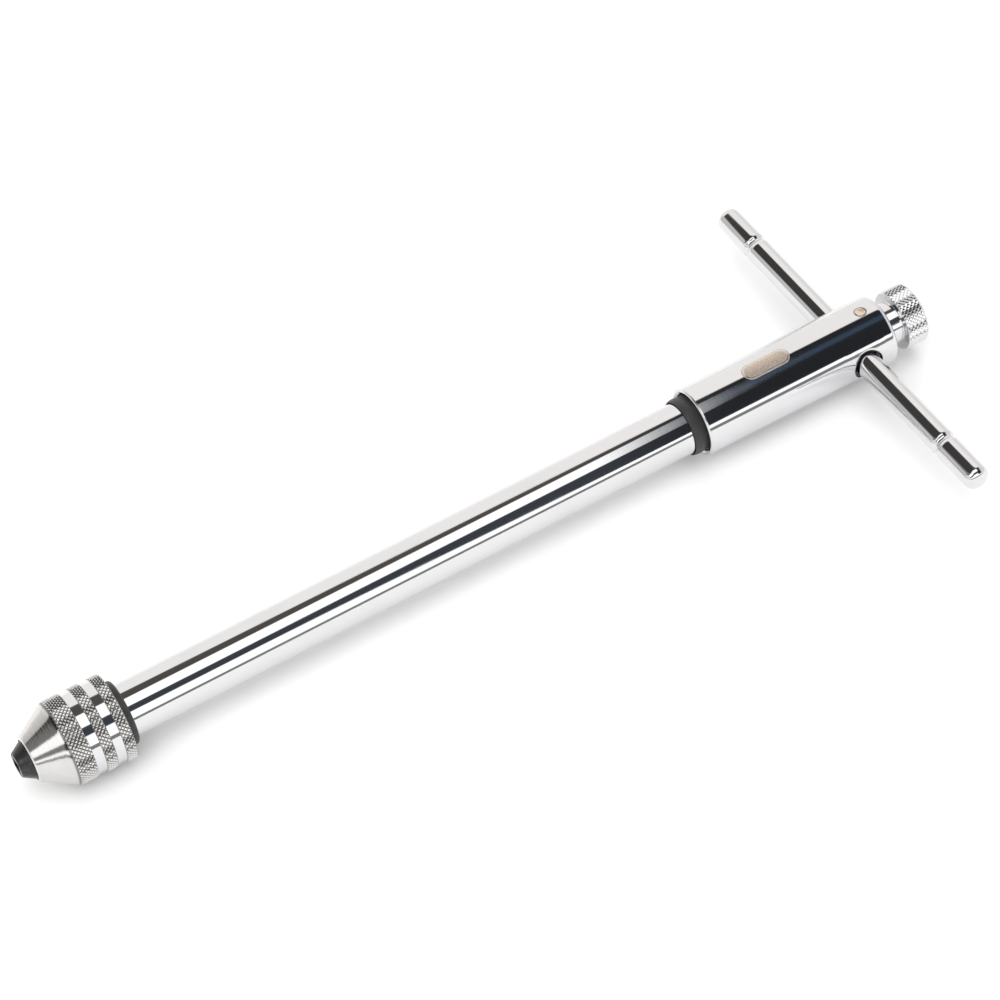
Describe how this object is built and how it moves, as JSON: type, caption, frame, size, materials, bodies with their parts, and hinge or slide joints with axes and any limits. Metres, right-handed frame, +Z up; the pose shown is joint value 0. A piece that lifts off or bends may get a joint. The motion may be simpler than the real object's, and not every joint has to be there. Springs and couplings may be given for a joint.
{
  "type": "tap wrench",
  "caption": "Long-reach ratchet tap wrench: two-jaw chuck with a knurled cap, long tube, ratchet head with a sliding T-bar and a knurled selector knob.",
  "frame": {"origin": "bottom centre of the bounding box, with the tool lying down on its chuck cap", "axes": "+X along the tool from the chuck to the selector knob, +Y along the T-bar, +Z up"},
  "size_m": [0.3, 0.1344, 0.026],
  "materials": {
    "chrome": "bright polished chrome plate",
    "satin_nickel": "turned and knurled, satin nickel plate",
    "black_oxide": "blackened hardened steel",
    "black_rubber": "matt black rubber",
    "tool_steel": "plain machined steel",
    "spring_steel": "spring steel wire and strip",
    "brass": "plain machined brass"
  },
  "bodies": {
    "head": {"head_body": "chrome", "head_bush": "brass", "retaining_ring": "spring_steel", "pawl_pin_a": "tool_steel", "pawl_pin_b": "tool_steel", "pawl_spring_a": "spring_steel", "pawl_spring_b": "spring_steel", "selector_pin": "brass", "bar_detent_ball": "tool_steel", "bar_detent_spring": "spring_steel", "bar_detent_plug": "brass", "bar_seal_left": "black_rubber", "bar_seal_right": "black_rubber"},
    "bar": {"t_bar": "chrome"},
    "selector": {"selector_knob": "chrome", "selector_stem": "tool_steel", "selector_detent_ball": "tool_steel", "selector_detent_spring": "spring_steel"},
    "pawl_upper": {"pawl_a": "tool_steel"},
    "pawl_lower": {"pawl_b": "tool_steel"},
    "shank": {"extension_tube": "chrome", "chuck_body": "tool_steel", "chuck_pin": "tool_steel", "spindle": "tool_steel", "spindle_pin": "tool_steel", "ratchet_wheel": "tool_steel", "wheel_circlip": "spring_steel", "dust_seal": "black_rubber"},
    "ring": {"cap_ring": "black_rubber"},
    "cap": {"chuck_cap": "satin_nickel"},
    "jaw_upper": {"jaw_left": "black_oxide", "jaw_spring": "spring_steel"},
    "jaw_lower": {"jaw_right": "black_oxide"}
  },
  "joints": [
    {"name": "bar_slide", "type": "slide", "parent": "head", "child": "bar", "axis": [0, 1, 0], "range_m": [-0.0422, 0.0571]},
    {"name": "ratchet_turn", "type": "hinge", "parent": "head", "child": "shank", "pos_m": [0.08, 0, 0.013], "axis": [1, 0, 0], "continuous": true},
    {"name": "selector_turn", "type": "hinge", "parent": "head", "child": "selector", "pos_m": [0.146, 0, 0.013], "axis": [1, 0, 0], "range_deg": [-15, 15]},
    {"name": "pawl_upper_rock", "type": "hinge", "parent": "head", "child": "pawl_upper", "pos_m": [0.0944, -0.00485, 0.01853], "axis": [1, 0, 0], "range_deg": [-12, 12]},
    {"name": "pawl_lower_rock", "type": "hinge", "parent": "head", "child": "pawl_lower", "pos_m": [0.0944, -0.00485, 0.00747], "axis": [1, 0, 0], "range_deg": [-12, 12]},
    {"name": "cap_advance", "type": "slide", "parent": "shank", "child": "ring", "axis": [-1, 0, 0], "range_m": [-0.00054, 0.00272]},
    {"name": "cap_turn", "type": "hinge", "parent": "ring", "child": "cap", "pos_m": [-0.133, 0, 0.013], "axis": [-1, 0, 0], "range_deg": [-130, 655]},
    {"name": "jaw_upper_slide", "type": "slide", "parent": "shank", "child": "jaw_upper", "axis": [0, -0.7071, 0.7071], "range_m": [-0.0002, 0.001]},
    {"name": "jaw_lower_slide", "type": "slide", "parent": "shank", "child": "jaw_lower", "axis": [0, 0.7071, -0.7071], "range_m": [-0.0002, 0.001]}
  ],
  "couplings": [
    {"joint": "pawl_upper_rock", "follows": "selector_turn", "ratio": -0.8},
    {"joint": "pawl_lower_rock", "follows": "selector_turn", "ratio": -0.8},
    {"joint": "cap_turn", "follows": "cap_advance", "rad_per_m": 4188.8},
    {"joint": "jaw_upper_slide", "follows": "cap_advance", "ratio": 0.36397},
    {"joint": "jaw_lower_slide", "follows": "cap_advance", "ratio": 0.36397}
  ]
}
